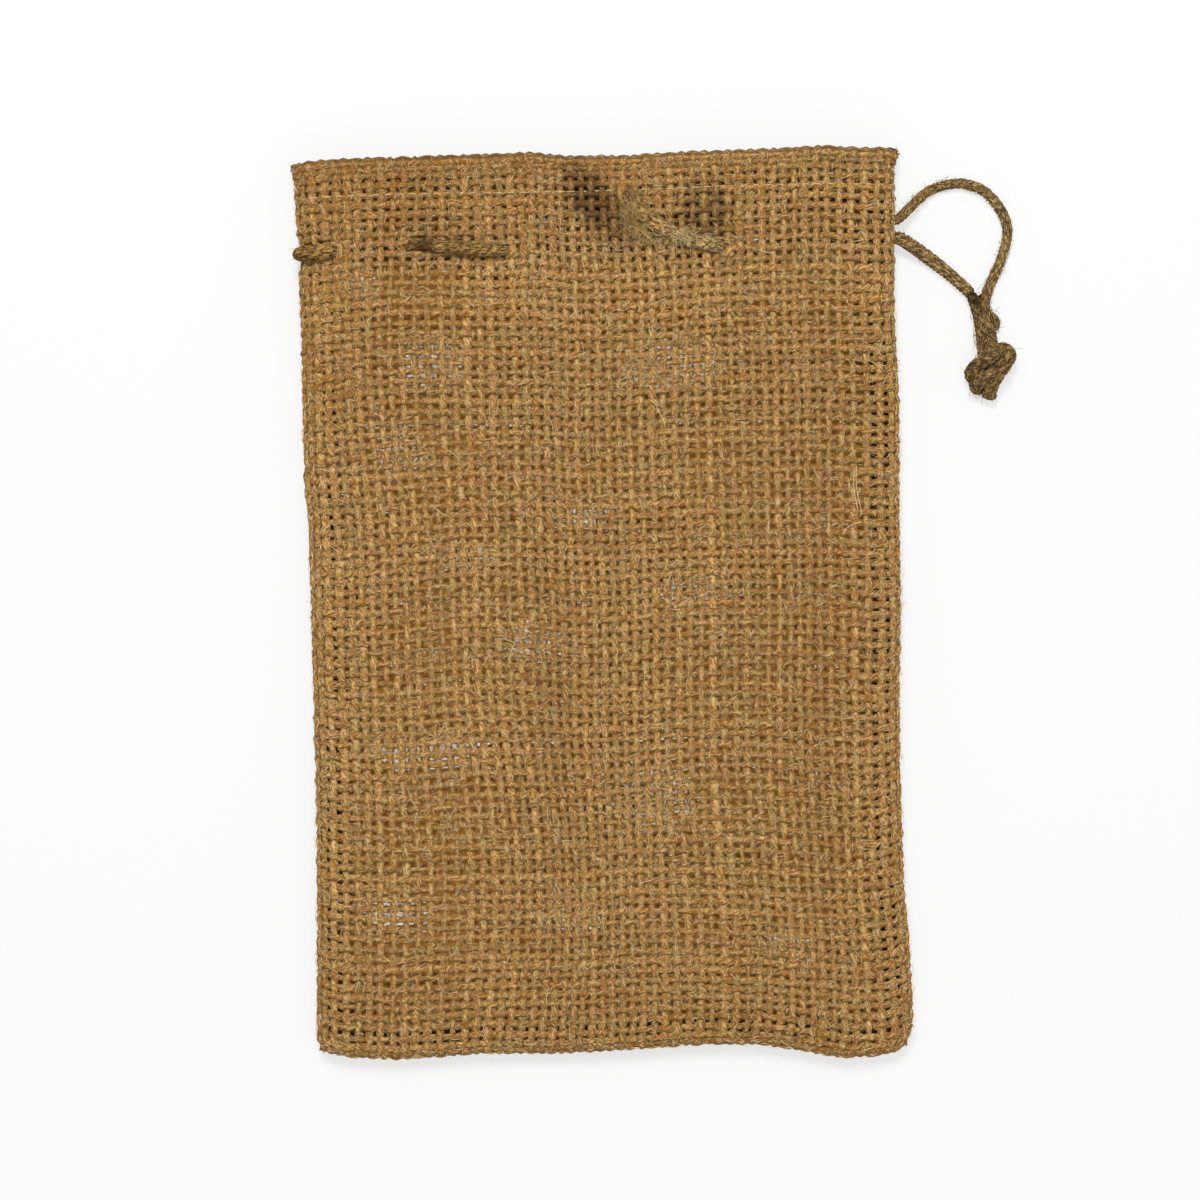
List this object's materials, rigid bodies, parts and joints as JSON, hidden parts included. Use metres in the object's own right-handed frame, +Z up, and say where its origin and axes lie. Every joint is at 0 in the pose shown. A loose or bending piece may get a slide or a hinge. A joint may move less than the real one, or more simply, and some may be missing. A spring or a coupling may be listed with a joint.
{
  "type": "burlap sack",
  "caption": "Small flat burlap sack, open at its hemmed mouth, with a twisted jute drawstring threaded below the hem and knotted at the side; it holds small loose goods.",
  "frame": {"origin": "under the middle of the sack without its drawstring, on the surface it lies on", "axes": "+X to the right edge, where the drawstring leaves, +Y up to the mouth, +Z up out of the surface"},
  "size_m": [0.1236, 0.1551, 0.0109],
  "materials": {
    "burlap": "coarse plain-weave jute burlap, matt and hairy",
    "cord": "twisted jute cord, matt"
  },
  "bodies": {
    "root": {"sack_front": "burlap", "sack_back": "burlap", "drawstring": "cord", "drawstring_knot": "cord"}
  },
  "joints": []
}
